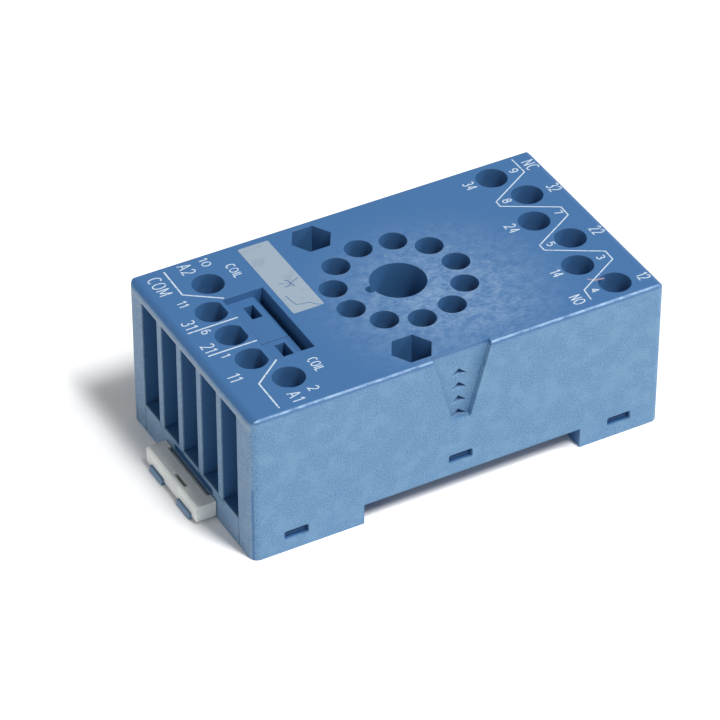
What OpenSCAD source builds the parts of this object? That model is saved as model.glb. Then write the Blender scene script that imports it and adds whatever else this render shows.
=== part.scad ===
// Relay socket: an eleven-pin plug-in socket with screw terminals at both ends, for a 35 mm rail or a panel.
// X runs from the end with the rail clip to the far end, Y runs across and Z is up.
// The origin is under the middle of the whole part, on the plane that it stands on.
// Sizes are in millimetres. A size named "from_end" is measured from the nearer end face of the body.

/* [Body] */
// Length of the moulded body, without the clip
body_l = 67; // [66:0.5:76]
// Width of the body
body_w = 38; // [38:0.5:44]
// Height from the underside to the top face
body_h = 25; // [25:0.5:30]
// Radius of the upright corners
corner_r = 1.3; // [0.8:0.1:1.6]
// Radius of the top edges at the two ends
edge_r = 1.4; // [0.9:0.1:1.6]
// Radius of the long top edges
side_edge_r = 0.45; // [0.3:0.05:0.9]
// Thickness of the skirts that cover the base plate's sides
skirt_t = 1.5; // [1.3:0.1:1.8]
// Play between pieces that snap or slide together
fit_gap = 0.1; // [0.06:0.01:0.14]

/* [Plug-in relay] */
// Distance of the pin circle's centre from the clip end
socket_from_end = 33.75; // [33:0.05:34.5]
// Diameter of the circle of pins
pin_circle_d = 19.05; // [18.6:0.05:19.4]
// Number of pins
pin_count = 11; // [11:1:11]
// Radius of a pin hole in the top face
pin_hole_r = 2.1; // [2:0.05:2.2]
// Radius of the bore for the relay's spigot
spigot_r = 4.2; // [3.8:0.1:4.6]
// Depth of the spigot bore
spigot_depth = 14; // [11:0.5:14.5]
// Radius of the keyway in the spigot bore
key_r = 0.8; // [0.6:0.1:1]
// Reach of the keyway from the bore's centre
key_reach = 5.3; // [4.8:0.1:5.6]
// Wall outside each pin hole at the corners of the carrier, which stands in a well of the housing
carrier_wall = 0.975; // [0.8:0.025:1.05]

/* [Terminals] */
// Thickness of the side walls beside the outermost slots, which sets the terminals' spacing
side_wall = 1.225; // [1.2:0.025:1.4]
// Distance of the common terminals from the clip end
com_from_end = 6.9; // [6.8:0.05:7.2]
// Distance of the coil terminals from the clip end
coil_from_end = 9.5; // [9:0.1:9.6]
// Distance of the normally open terminals from the far end
no_from_end = 8.85; // [8.5:0.05:9.2]
// Distance of the normally closed terminals from the far end
nc_from_end = 6.35; // [6.3:0.05:6.8]
// Radius of a screwdriver hole
access_r = 2.4; // [2.3:0.05:2.5]
// Radius of the neck that keeps a screw in
neck_r = 1.9; // [1.6:0.1:2]
// Thickness of that neck
neck_t = 0.6; // [0.5:0.1:0.8]
// Width of a wire-entry slot
slot_w = 4.8; // [4.7:0.05:4.9]
// Height of the top of the wire-entry slots
slot_top = 23.4; // [22:0.1:23.6]
// Depth of the flat on the common terminals' holes
flat_depth = 0.35; // [0.2:0.05:0.5]

/* [Clamps and contacts] */
// Thickness of the contact strip
strip_t = 0.8; // [0.6:0.1:1]
// Width of the contact strip
strip_w = 2.6; // [2.2:0.1:2.7]
// Height of the underside of the contact strips
strip_z = 13; // [12.8:0.1:13.2]
// Width of the two strips that pass below the others
low_strip_w = 1.6; // [1.4:0.1:1.8]
// Height of the underside of those two strips
low_strip_z = 9; // [8:0.1:9.5]
// Outer radius of a pin sleeve
sleeve_r = 1.9; // [1.8:0.05:1.95]
// Radius of the bore of a pin sleeve
sleeve_bore_r = 1.2; // [1.1:0.05:1.3]
// Height of the top of a pin sleeve
sleeve_top = 20.5; // [18:0.5:21]
// Width of the slit down a sleeve
sleeve_slit = 0.5; // [0.3:0.1:0.7]
// Radius of the terminal screw over its thread
screw_r = 1.45; // [1.3:0.05:1.5]
// Radial play of the screw in the cage
screw_play = 0.05; // [0.03:0.01:0.08]
// Radius of the screw head
head_r = 2.25; // [2.1:0.05:2.3]
// Height of the screw head
head_h = 2; // [1.6:0.1:2.2]
// Length of a clamp cage, along the wire
cage_l = 4.2; // [4:0.1:4.2]
// Thickness of a cage's sides
cage_side_t = 0.8; // [0.6:0.1:0.9]
// Thickness of a cage's threaded top
cage_top_t = 1.6; // [1.3:0.1:1.8]
// Thickness of a cage's floor
cage_floor_t = 1; // [0.8:0.1:1.2]
// Height of the open clamp, under the contact
wire_h = 3.2; // [3:0.1:3.3]
// Travel of a cage from open to closed
cage_rise = 2.8; // [2.4:0.1:2.9]

/* [Base and rail] */
// Height of the base plate
base_h = 5; // [4.8:0.1:5.4]
// Height of the base plate under the corner columns
corner_step_h = 3; // [2.6:0.1:3.2]
// Width of the rail that the socket clips on
rail_w = 35; // [34:0.1:35.4]
// Play of the rail in its notch
rail_play = 0.7; // [0.4:0.1:1]
// Distance of the rail notch from the clip end
notch_from_end = 17.8; // [17:0.1:18.5]
// Height of the rail notch
notch_h = 3.4; // [3.3:0.1:3.6]
// Thickness of the rail's edge
rail_t = 1; // [0.9:0.1:1.1]
// Reach of the fixed lip under the rail
lip_reach = 1.6; // [1.2:0.1:2]
// Length of the fixed lip
lip_w = 18; // [12:1:24]
// Distance of the panel screws from the long sides
panel_from_side = 4.15; // [4.1:0.05:4.5]
// Distance of the panel screws from the clip end
panel_from_end = 27.6; // [27.2:0.1:27.8]
// Radius of a panel screw's hole
panel_hole_r = 1.6; // [1.5:0.1:1.8]
// Width of a hexagonal pocket across its flats
hex_flats = 5.6; // [5.5:0.1:5.6]
// Height of the floor of the hexagonal pockets
hex_floor = 8; // [7.5:0.5:12]

/* [Rail clip] */
// How far the clip stands out of the end face
clip_out = 3.3; // [3:0.1:4]
// How far the base plate's two tabs stand out past the handle
tab_out = 0.4; // [0.2:0.1:0.6]
// Width of the clip's handle
clip_w = 15.8; // [15.4:0.1:18]
// Height of the top of the handle
clip_top = 3.2; // [3:0.1:3.6]
// Height of the lower edge of the handle
clip_foot = 0.6; // [0.2:0.1:0.8]
// Thickness of the clip's slide
clip_t = 1.2; // [1:0.1:1.3]
// Travel of the clip from locked to released
clip_travel = 3; // [2.5:0.1:3.2]
// Reach of the clip's nose past the notch wall
nose_reach = 2.2; // [2:0.1:2.6]
// Width of the middle of the slide
core_w = 9.2; // [8:0.1:9.4]
// Width of each spring arm
arm_w = 1; // [0.8:0.1:1.1]
// Gap between the middle and each spring arm
arm_gap = 0.8; // [0.6:0.1:0.9]
// How far each arm's hook stands out
hook_out = 0.9; // [0.6:0.1:1]
// Length of the screwdriver slot in the handle
driver_slot_l = 3.2; // [2.5:0.1:4]
// How far the back of the handle is set back between its two end blocks
handle_set_back = 0.6; // [0.3:0.1:0.8]

/* [Sides and module recess] */
// Length of a snap window
window_l = 3.9; // [3.5:0.1:4.2]
// Height of a snap window
window_h = 1.55; // [1.4:0.05:1.7]
// Radius of the corners of a snap window
window_r = 0.35; // [0.2:0.05:0.5]
// Height of the sill of the windows near the ends
window_sill = 2.05; // [1.9:0.05:2.2]
// Distance of the outer windows from the middle of the body
window_offset = 26.55; // [25.5:0.05:27]
// Width of the retainer recess at the top edge
retainer_top_w = 9.5; // [9:0.1:10]
// Width of the retainer recess at its foot
retainer_foot_w = 3; // [2.8:0.1:3.5]
// Height of the foot of the retainer recess
retainer_foot_h = 13; // [12.8:0.1:13.5]
// Depth of the retainer recess
retainer_depth = 1; // [0.8:0.05:1]
// Number of teeth in the retainer recess
tooth_count = 4; // [2:1:4]
// Spacing of the teeth
tooth_pitch = 2.4; // [2:0.1:2.5]
// Height of a tooth
tooth_h = 1.15; // [0.9:0.05:1.3]
// Width of a tooth
tooth_w = 2.7; // [2.2:0.1:2.8]
// Depth of a tooth
tooth_depth = 0.9; // [0.6:0.1:1]
// Distance of the module recess from the clip end
recess_from_end = 9.5; // [9.4:0.1:9.8]
// Length of the module recess along the body
recess_l = 6.45; // [6:0.05:6.6]
// Width of the module recess across the body
recess_w = 15.8; // [15:0.1:16.4]
// Depth of the module recess
recess_depth = 1.25; // [1:0.05:1.5]
// Width of the trench along the recess
trench_w = 0.95; // [0.8:0.05:1.2]
// Height of the floor of the trench
trench_floor = 17; // [16.5:0.5:19]
// Length of a module blade's slot, across the body
blade_slot_l = 3.1; // [2.8:0.1:3.4]
// Width of a module blade's slot
blade_slot_w = 1.6; // [1.5:0.1:1.8]
// Distance of the blade slots from the middle of the body
blade_offset = 4.8; // [4.6:0.1:5]
// Distance of the blade slots from the edge of the recess
blade_from_edge = 3.25; // [3.15:0.05:3.5]
// Width of a coil contact's arm under that slot
module_arm_w = 2; // [1.8:0.1:2]

/* [Hidden] */
$fn = 48;
// Overshoot of a cut past the face that it opens
cut = 0.5;

// Distances of the strips' bends from the end faces
coil_bend = 20;
com_bend = 16;
far_bend = 17;
// The strips of the two corner terminals bend closer to their pins
corner_34_bend = 27;
corner_12_bend = 23;
// Terminals: name, end (-1 clip end, 1 far end), place across, distance from the end, relay pin,
// distance of the strip's bend from the end, and whether the strip passes below the others
TERMINALS = [
    ["a2", -1,  2,   coil_from_end, 10, coil_bend, false],
    ["31", -1,  1,   com_from_end,  11, com_bend, false],
    ["21", -1,  0,   com_from_end,   6, com_bend, true],
    ["11", -1, -1,   com_from_end,   1, com_bend, false],
    ["a1", -1, -2,   coil_from_end,  2, coil_bend, false],
    ["34",  1,  2.5, no_from_end,    9, corner_34_bend, false],
    ["32",  1,  1.5, nc_from_end,    8, far_bend, false],
    ["24",  1,  0.5, no_from_end,    7, far_bend, false],
    ["22",  1, -0.5, nc_from_end,    5, far_bend, false],
    ["14",  1, -1.5, no_from_end,    3, far_bend, true],
    ["12",  1, -2.5, nc_from_end,    4, corner_12_bend, false]
];

// The clip makes the whole part longer at one end, so the body's middle lies off the origin
body_x = (clip_out + tab_out) / 2;
clip_end_x = body_x - body_l / 2;
far_end_x = body_x + body_l / 2;
socket_x = clip_end_x + socket_from_end;
inner_w = body_w - 2 * skirt_t;
terminal_steps = 5;
pitch = (body_w - 2 * side_wall - slot_w) / terminal_steps;
rib_t = pitch - slot_w;
panel_spacing = body_w - 2 * panel_from_side;

function name(t) = t[0];
function end_side(t) = t[1];
function is_low(t) = t[6];
// X of a place that lies a distance in from an end face
function from_end(side, distance) = side < 0 ? clip_end_x + distance : far_end_x - distance;
function term_x(t) = from_end(t[1], t[3]);
function term_y(t) = t[2] * pitch;
function bend_x(t) = from_end(t[1], t[5]);
// Radius over the corners of the carrier
carrier_r = pin_circle_d / 2 + pin_hole_r + carrier_wall;
// Pins are counted from the keyway, which faces the clip end, anticlockwise seen from above
function pin_angle(t) = 180 + (t[4] - 0.5) * 360 / pin_count;
function pin_x(t) = socket_x + pin_circle_d / 2 * cos(pin_angle(t));
function pin_y(t) = pin_circle_d / 2 * sin(pin_angle(t));
function run_z(t) = is_low(t) ? low_strip_z : strip_z;
function run_w(t) = is_low(t) ? low_strip_w : strip_w;

// Clamp heights, built up from the contact strip
strip_top = strip_z + strip_t;
screw_tip_z = strip_top + 0.1;
cage_foot_z = strip_z - wire_h - cage_floor_t;
cage_window_top = strip_top + 0.2;
cage_top_z = cage_window_top + cage_top_t;
head_z = cage_top_z + cage_rise + 0.2;
neck_z = head_z + head_h + fit_gap;
cage_w = slot_w - 2 * fit_gap;
// Gap from a cage to the inner wall of its chamber, and on to a low strip's upright leg
chamber_gap = 0.3;
leg_gap = 0.6;
// Side clearance of a contact in its channel, and of a sleeve in its hole
channel_gap = 0.15;
post_r = 0.7;
// Free height of a sleeve's lead-in cone and of the solid ring under its slit
sleeve_lead = 0.5;
sleeve_ring_h = 1;
// Leaves that grip a module's blade
leaf_t = 0.35;
leaf_h = 4;
// Rounding of a cage's long edges
cage_edge_r = 0.4;
// Screw: chamfer at the tip and at the head, and the two arms of the cross slot
screw_tip = 0.4;
head_chamfer = 0.3;
cross_w = 0.7;
cross_depth = 1;
cross_short_w = 0.8;
cross_short_l = 2.8;
cross_short_depth = 1.2;

// Rail and clip heights, built down from the rail
notch_l = rail_w + rail_play;
notch_x = clip_end_x + notch_from_end;
slide_top = notch_h - rail_t - fit_gap;
slide_z = slide_top - clip_t;
tongue_t = slide_z - fit_gap;
slide_w = core_w + 2 * (arm_gap + arm_w);
channel_w = slide_w + 0.6;
arm_start = 1.5;
arm_end = 13;
hook_l = 1.5;
handle_wall = 0.7;
handle_end_l = 1.7;
handle_chamfer = 0.3;
tongue_w = slide_w + 0.1;
tab_inner = 2.4;
tab_outer = 6.3;
// Slopes of the lip's and the nose's lower edges, which let the rail ride over them
lip_slope_in = 0.4;
lip_edge = 0.6;
nose_slope_l = 0.9;
nose_slope_h = 0.8;
// Width of the screwdriver slot behind the handle's outer wall, and its offset from the middle
driver_slot_w = 0.55;
driver_slot_off = -1.3;

// Ends of the housing over the base plate
column_depth = 3;
rib_foot_h = 0.4;
rib_foot_t = 1.5;
// Walls left round the hollows of the feet
foot_margin = 1;
foot_web_t = 1.5;
// The relief over the clip and the thin grooves under the corner columns, in the base plate's end face
relief_depth = 0.4;
relief_y = -0.6;
relief_w = 12;
relief_over_clip = 0.8;
relief_top_gap = 0.2;
groove_w = 0.2;
groove_depth = 0.3;
window_head = window_sill + window_h;
mid_window_sill = base_h + 0.4;
snap_t = 1.5;
snap_out = 0.9;
snap_flat = 0.3;
recess_x = clip_end_x + recess_from_end;
recess_floor = body_h - recess_depth;
blade_x = recess_x + blade_from_edge;
arm_z = strip_top + 1.4;
// The lower level of the module recess: how far in it starts, its end across and its depth
recess_step_in = 0.7;
recess_step_y = -2.4;
recess_step_depth = 0.25;
// Radius of the hollow rounding between the recess floor and the trench
recess_lip = 0.8;

// A box given by its lowest and highest corners
module span(low, high) {
    translate(low) cube(high - low);
}

// An upright post or disc
module disc(x, y, z, r, h) {
    translate([x, y, z]) cylinder(r = r, h = h);
}

// Outline of a terminal's strip, of width w: from the pin to its bend and on along X, with a mitred corner
module strip_outline(t, w, end_x) {
    pin = [pin_x(t), pin_y(t)];
    bend = [bend_x(t), term_y(t)];
    last = [end_x, term_y(t)];
    run = (bend - pin) / norm(bend - pin);
    across = [-run[1], run[0]] * w / 2;
    across_last = [0, end_side(t) * w / 2];
    corner = (across + across_last) / (1 + across * across_last * 4 / w / w);
    polygon([pin + across, bend + corner, last + across_last, last - across_last, bend - corner, pin - across]);
}

// Outline of the body seen from above
module plan_outline() {
    square([body_l, body_w - 2 * corner_r], center = true);
    square([body_l - 2 * corner_r, body_w], center = true);
    for (s = [-1, 1], t = [-1, 1])
        translate([s * (body_l / 2 - corner_r), t * (body_w / 2 - corner_r)]) circle(corner_r);
}

// Outline of an upright face with its top corners rounded to radius r
module face_outline(w, r) {
    translate([-w / 2, 0]) square([w, body_h - r]);
    translate([-w / 2 + r, 0]) square([w - 2 * r, body_h]);
    for (s = [-1, 1])
        translate([s * (w / 2 - r), body_h - r]) circle(r);
}

// The body's outer form, rounded at its corners and its top edges
module body_block() {
    translate([body_x, 0, 0]) intersection() {
        linear_extrude(body_h) plan_outline();
        rotate([90, 0, 0]) linear_extrude(body_w + 2 * cut, center = true) face_outline(body_l, edge_r);
        rotate([90, 0, 90]) linear_extrude(body_l + 2 * cut, center = true) face_outline(body_w, side_edge_r);
    }
}

// Half the width that the wire-entry slots take at an end
function slots_half(side) = (side < 0 ? 2 : 2.5) * pitch + slot_w / 2;
// Places across of the ribs between the slots of an end
function rib_places(side) = side < 0 ? [-1.5, -0.5, 0.5, 1.5] : [-2, -1, 0, 1, 2];

// A block at an end face, from the face inwards
module end_block(side, depth, y0, y1, z0, z1) {
    x = from_end(side, 0);
    inner = from_end(side, depth);
    span([min(x, inner), y0, z0], [max(x, inner), y1, z1]);
}

// The four corner columns and the rib feet that the housing sets down on the base plate
module column_feet(gap) {
    for (side = [-1, 1]) {
        inner = slots_half(side) - gap;
        if (inner < inner_w / 2)
            for (s = [-1, 1])
                end_block(side, column_depth + gap, s > 0 ? inner : -inner_w / 2 - cut,
                    s > 0 ? inner_w / 2 + cut : -inner, corner_step_h, base_h + cut);
        for (k = rib_places(side))
            end_block(side, rib_foot_t + gap, k * pitch - rib_t / 2 - gap, k * pitch + rib_t / 2 + gap,
                base_h - rib_foot_h - gap, base_h + cut);
    }
}

// The space that the base plate fills in the housing
module base_space() {
    difference() {
        span([clip_end_x - cut, -inner_w / 2, -cut], [far_end_x + cut, inner_w / 2, base_h]);
        column_feet(0);
    }
}

// The notch for the rail, across the whole width
module rail_notch() {
    span([notch_x, -body_w / 2 - cut, -cut], [notch_x + notch_l, body_w / 2 + cut, notch_h]);
}

// The chamber of one clamp, with its wire entry and its screwdriver hole
module chamber(t) {
    side = end_side(t);
    x = term_x(t);
    y = term_y(t);
    inner = x - side * (cage_l / 2 + chamber_gap);
    front = x + side * (access_r + 0.4);
    outside = from_end(side, -cut);
    span([min(outside, inner), y - slot_w / 2, base_h], [max(outside, inner), y + slot_w / 2, neck_z]);
    span([min(outside, front), y - slot_w / 2, base_h], [max(outside, front), y + slot_w / 2, slot_top]);
    disc(x, y, neck_z - cut, neck_r, neck_t + 2 * cut);
    difference() {
        disc(x, y, neck_z + neck_t, access_r, body_h);
        if (side < 0 && abs(t[2]) < 2)
            span([x + access_r - flat_depth, y - access_r, neck_z], [x + access_r + cut, y + access_r, body_h]);
    }
}

// X of the middle of a low strip's upright leg
function leg_x(t) = term_x(t) - end_side(t) * (cage_l / 2 + leg_gap + strip_t / 2);

// The channel that a contact lies in and the hole round its sleeve, cut up from the base plate
module contact_channel(t) {
    top = run_z(t) + strip_t;
    end_x = is_low(t) ? leg_x(t) : term_x(t) - end_side(t) * cage_l / 2;
    translate([0, 0, base_h - cut]) linear_extrude(top - base_h + cut)
        strip_outline(t, run_w(t) + 2 * channel_gap, end_x);
    disc(pin_x(t), pin_y(t), base_h - cut, pin_hole_r, body_h);
    if (is_low(t))
        leg_block(t, strip_w + 2 * channel_gap, channel_gap, base_h - cut, strip_top);
}

// The upright leg of a low strip, or the space for it
module leg_block(t, w, gap, z0, z1) {
    side = end_side(t);
    near = term_x(t) - side * (cage_l / 2 + leg_gap - (gap > 0 ? leg_gap : 0));
    away = term_x(t) - side * (cage_l / 2 + leg_gap + strip_t + gap);
    span([min(near, away), term_y(t) - w / 2, z0], [max(near, away), term_y(t) + w / 2, z1]);
}

// The recess for a plug-in module: a shallow floor in two levels, a trench and two blade slots
module module_recess() {
    trench_x = recess_x + recess_l - trench_w;
    span([recess_x, -recess_w / 2, recess_floor], [recess_x + recess_l, recess_w / 2, body_h + cut]);
    span([recess_x + recess_step_in, -recess_w / 2, recess_floor - recess_step_depth], [trench_x, recess_step_y, body_h]);
    span([trench_x, -recess_w / 2, trench_floor], [recess_x + recess_l, recess_w / 2, body_h]);
    difference() {
        span([trench_x - recess_lip, -recess_w / 2, recess_floor - recess_lip],
            [trench_x + cut / 2, recess_w / 2, recess_floor]);
        translate([trench_x - recess_lip, 0, recess_floor - recess_lip]) rotate([90, 0, 0])
            cylinder(r = recess_lip, h = recess_w + 2 * cut, center = true);
    }
    for (s = [-1, 1])
        span([blade_x - blade_slot_w / 2, s * blade_offset - blade_slot_l / 2, arm_z],
            [blade_x + blade_slot_w / 2, s * blade_offset + blade_slot_l / 2, body_h]);
}

// The space for a coil contact's arm under the module recess
module module_arm_space(s) {
    half = module_arm_w / 2 + channel_gap;
    span([blade_x - half, s > 0 ? blade_offset - half : -2 * pitch, base_h - cut],
        [blade_x + half, s > 0 ? 2 * pitch : half - blade_offset, arm_z + strip_t]);
}

// A hexagonal pocket with the hole of a panel screw in its floor
module panel_pocket(s) {
    translate([clip_end_x + panel_from_end, s * panel_spacing / 2, 0]) {
        translate([0, 0, hex_floor]) cylinder(d = hex_flats / cos(30), h = body_h, $fn = 6);
        cylinder(r = panel_hole_r, h = body_h);
    }
}

// The tapered recess in the near long side for the relay's retaining clip, with its teeth
module retainer_recess() {
    rise = body_h - retainer_foot_h;
    grow = (retainer_top_w - retainer_foot_w) / 2 / rise;
    translate([body_x, retainer_depth - body_w / 2, retainer_foot_h]) {
        translate([0, cut, 0]) rotate([90, 0, 0]) translate([0, 0, cut])
            linear_extrude(retainer_depth + cut)
                polygon([[-retainer_foot_w / 2, 0], [retainer_foot_w / 2, 0],
                    [retainer_top_w / 2 + grow * cut, rise + cut], [-retainer_top_w / 2 - grow * cut, rise + cut]]);
        for (k = [0 : tooth_count - 1])
            translate([0, 0, k * tooth_pitch]) tooth_pocket();
    }
}

// One undercut tooth: a triangle seen from the side, with a floor that slopes inwards
module tooth_pocket() {
    intersection() {
        rotate([90, 0, 0]) linear_extrude(2 * (tooth_depth + cut), center = true)
            polygon([[-tooth_w / 2, 0], [tooth_w / 2, 0], [0, tooth_h]]);
        rotate([90, 0, 90]) linear_extrude(tooth_w + 1, center = true)
            polygon([[-cut, 0], [0, 0], [tooth_depth, tooth_h / 2], [tooth_depth, tooth_h], [-cut, tooth_h]]);
    }
}

// Middles of the three snaps along a side, with the height of each window's sill
SNAPS = [[-window_offset, window_sill], [0, mid_window_sill], [window_offset, window_sill]];

// A window through a skirt, with rounded corners
module snap_window(s, place, sill) {
    round_l = window_l / 2 - window_r;
    round_h = window_h / 2 - window_r;
    translate([body_x + place, s * (body_w / 2 - skirt_t / 2), sill + window_h / 2]) rotate([90, 0, 0])
        linear_extrude(skirt_t + 2 * cut, center = true) {
            square([2 * round_l, window_h], center = true);
            square([window_l, 2 * round_h], center = true);
            for (u = [-1, 1], v = [-1, 1])
                translate([u * round_l, v * round_h]) circle(window_r);
        }
}

// The pocket that the base plate's middle snap stands in
module snap_pocket(s) {
    y0 = s * (inner_w / 2 - snap_t - 2 * fit_gap);
    y1 = s * inner_w / 2;
    span([body_x - window_l / 2 - fit_gap, min(y0, y1), base_h - cut],
        [body_x + window_l / 2 + fit_gap, max(y0, y1), mid_window_sill + window_h + fit_gap]);
}

// The carrier's outer form, with a corner outside each pin, or, with a longer height, the well for it
module carrier_block(h) {
    translate([socket_x, 0, body_h - spigot_depth]) cylinder(r = carrier_r, h = h, $fn = pin_count);
}

// The middle of the top: the pin holes round the keyed bore for the relay's spigot
module contact_carrier() {
    color("#4a7bb0") difference() {
        carrier_block(spigot_depth);
        for (t = TERMINALS)
            contact_channel(t);
        disc(socket_x, 0, body_h - spigot_depth - cut, spigot_r, body_h);
        disc(socket_x - key_reach + key_r, 0, body_h - spigot_depth - cut, key_r, body_h);
    }
}

module housing() {
    color("#4a7bb0") difference() {
        body_block();
        base_space();
        rail_notch();
        for (t = TERMINALS) {
            chamber(t);
            contact_channel(t);
        }
        carrier_block(body_h);
        module_recess();
        retainer_recess();
        for (s = [-1, 1]) {
            module_arm_space(s);
            panel_pocket(s);
            snap_pocket(s);
            for (snap = SNAPS)
                snap_window(s, snap[0], snap[1]);
        }
    }
}

// A snap nose: a wedge that stands out into its window, flat below and sloping above
module snap_nose(s, place, sill) {
    root = inner_w / 2 - 2 * fit_gap;
    translate([body_x + place, s * root, sill + fit_gap]) rotate([0, 0, s > 0 ? 0 : 180])
        rotate([90, 0, 90]) linear_extrude(window_l - 2 * fit_gap, center = true)
            polygon([[-cut, 0], [snap_out, 0], [snap_out, snap_flat], [fit_gap, window_h - 3 * fit_gap],
                [-cut, window_h - 3 * fit_gap]]);
}

// The base plate before its cuts: the slab and the uprights on it
module base_slab() {
    half = inner_w / 2 - fit_gap;
    span([clip_end_x, -half, 0], [far_end_x, half, base_h]);
}

// The lip that hooks under the fixed edge of the rail
module rail_lip() {
    end = notch_x + notch_l;
    translate([end, 0, 0]) rotate([90, 0, 0]) linear_extrude(lip_w, center = true)
        polygon([[cut, 0], [-lip_slope_in, 0], [-lip_reach, slide_top - lip_edge], [-lip_reach, slide_top],
            [cut, slide_top]]);
}

// The floor under the clip, with two tabs that reach the clip's outer edge
module clip_tongue() {
    front = clip_end_x - clip_out + handle_wall + fit_gap;
    span([front, -tongue_w / 2, 0], [clip_end_x + cut, tongue_w / 2, tongue_t]);
    for (s = [-1, 1])
        span([clip_end_x - clip_out - tab_out, min(s * tab_inner, s * tab_outer), 0],
            [front + cut, max(s * tab_inner, s * tab_outer), tongue_t]);
}

// The slideway of the clip, with a window on each side for an arm's hook to travel in
module clip_slideway() {
    hook_far = clip_end_x + arm_end + fit_gap;
    hook_near = clip_end_x + arm_end - hook_l - clip_travel - fit_gap;
    reach = slide_w / 2 + hook_out + 2 * fit_gap;
    span([clip_end_x - cut, -channel_w / 2, tongue_t], [notch_x + cut, channel_w / 2, slide_top + fit_gap]);
    span([hook_near, -reach, tongue_t], [hook_far, reach, slide_top + fit_gap]);
}

// Hollows under the two feet, which leave walls as thick as the skirts
module foot_hollows() {
    foot_end = notch_x + notch_l;
    side = channel_w / 2 + hook_out + skirt_t + foot_margin;
    for (s = [-1, 1]) {
        y0 = s * side;
        y1 = s * (inner_w / 2 - skirt_t - foot_margin);
        web = s * foot_web_t / 2;
        span([clip_end_x + column_depth + skirt_t, min(y0, y1), -cut], [notch_x - skirt_t, max(y0, y1), notch_h]);
        span([foot_end + skirt_t, min(web, y1), -cut], [far_end_x - skirt_t, max(web, y1), notch_h]);
    }
}

// Posts that hold the contact strips up against the housing
module strip_posts() {
    for (t = TERMINALS)
        disc(bend_x(t), term_y(t), base_h - cut, post_r, run_z(t) - base_h + cut);
}

module base_plate() {
    color("#42709f") difference() {
        union() {
            difference() {
                base_slab();
                rail_notch();
                clip_slideway();
                foot_hollows();
            }
            rail_lip();
            clip_tongue();
            strip_posts();
            for (s = [-1, 1]) {
                for (snap = SNAPS)
                    snap_nose(s, snap[0], snap[1]);
                snap_upright(s);
            }
        }
        column_feet(fit_gap);
        end_block(-1, relief_depth, relief_y - relief_w / 2, relief_y + relief_w / 2,
            slide_top + relief_over_clip, base_h - rib_foot_h - relief_top_gap);
        for (s = [-1, 1])
            end_block(-1, groove_depth, s * slots_half(-1) - groove_w / 2, s * slots_half(-1) + groove_w / 2,
                -cut, corner_step_h);
        for (s = [-1, 1])
            disc(clip_end_x + panel_from_end, s * panel_spacing / 2, -cut, panel_hole_r, body_h);
    }
}

// The upright that carries the middle snap above the rail notch
module snap_upright(s) {
    outer = s * (inner_w / 2 - fit_gap);
    inner = s * (inner_w / 2 - snap_t - fit_gap);
    span([body_x - window_l / 2 + fit_gap, min(inner, outer), base_h - cut],
        [body_x + window_l / 2 - fit_gap, max(inner, outer), mid_window_sill + window_h - fit_gap]);
}

// The sliding rail clip: a handle, a flat slide with two hooked arms and a nose under the rail
module rail_clip() {
    face = clip_end_x - fit_gap;
    front = clip_end_x - clip_out;
    half_core = core_w / 2;
    slide_end = notch_x + nose_reach;
    color("#c9ccc6") difference() {
        union() {
            rotate([90, 0, 0]) linear_extrude(clip_w, center = true)
                polygon([[front, clip_foot], [face, clip_foot], [face, clip_top], [front + handle_chamfer, clip_top],
                    [front, clip_top - handle_chamfer]]);
            span([front + handle_wall, -slide_w / 2, slide_z], [clip_end_x + arm_end, slide_w / 2, slide_top]);
            rotate([90, 0, 0]) linear_extrude(core_w, center = true)
                polygon([[face, slide_z], [slide_end - nose_slope_l, slide_z], [slide_end, slide_z + nose_slope_h],
                    [slide_end, slide_top], [face, slide_top]]);
            for (s = [-1, 1])
                scale([1, s, 1]) linear_hook();
        }
        // The gaps that free the arms
        for (s = [-1, 1])
            span([clip_end_x + arm_start, min(s * half_core, s * (half_core + arm_gap)), slide_z - cut],
                [clip_end_x + arm_end + cut, max(s * half_core, s * (half_core + arm_gap)), slide_top + cut]);
        // The hollow over the base plate's tongue, and the notches for its two tabs
        span([front + handle_wall, -channel_w / 2, clip_foot - cut], [face + cut, channel_w / 2, slide_z]);
        for (s = [-1, 1])
            span([front - cut, min(s * (tab_inner - fit_gap), s * (tab_outer + fit_gap)), clip_foot - cut],
                [face, max(s * (tab_inner - fit_gap), s * (tab_outer + fit_gap)), slide_z]);
        // The slot for a screwdriver, and the set-back of the handle over the slide
        translate([front + handle_wall, driver_slot_off - driver_slot_l / 2, slide_z - cut])
            cube([driver_slot_w, driver_slot_l, clip_top]);
        span([face - handle_set_back, handle_end_l - clip_w / 2, slide_top],
            [face + cut, clip_w / 2 - handle_end_l, clip_top + cut]);
    }
}

// The hook at the free end of a spring arm
module linear_hook() {
    root = slide_w / 2;
    tip = clip_end_x + arm_end;
    translate([0, 0, slide_z]) linear_extrude(clip_t)
        polygon([[tip - hook_l, root - cut], [tip - hook_l, root + hook_out], [tip - hook_l / 2, root + hook_out],
            [tip, root], [tip, root - cut]]);
}

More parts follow.
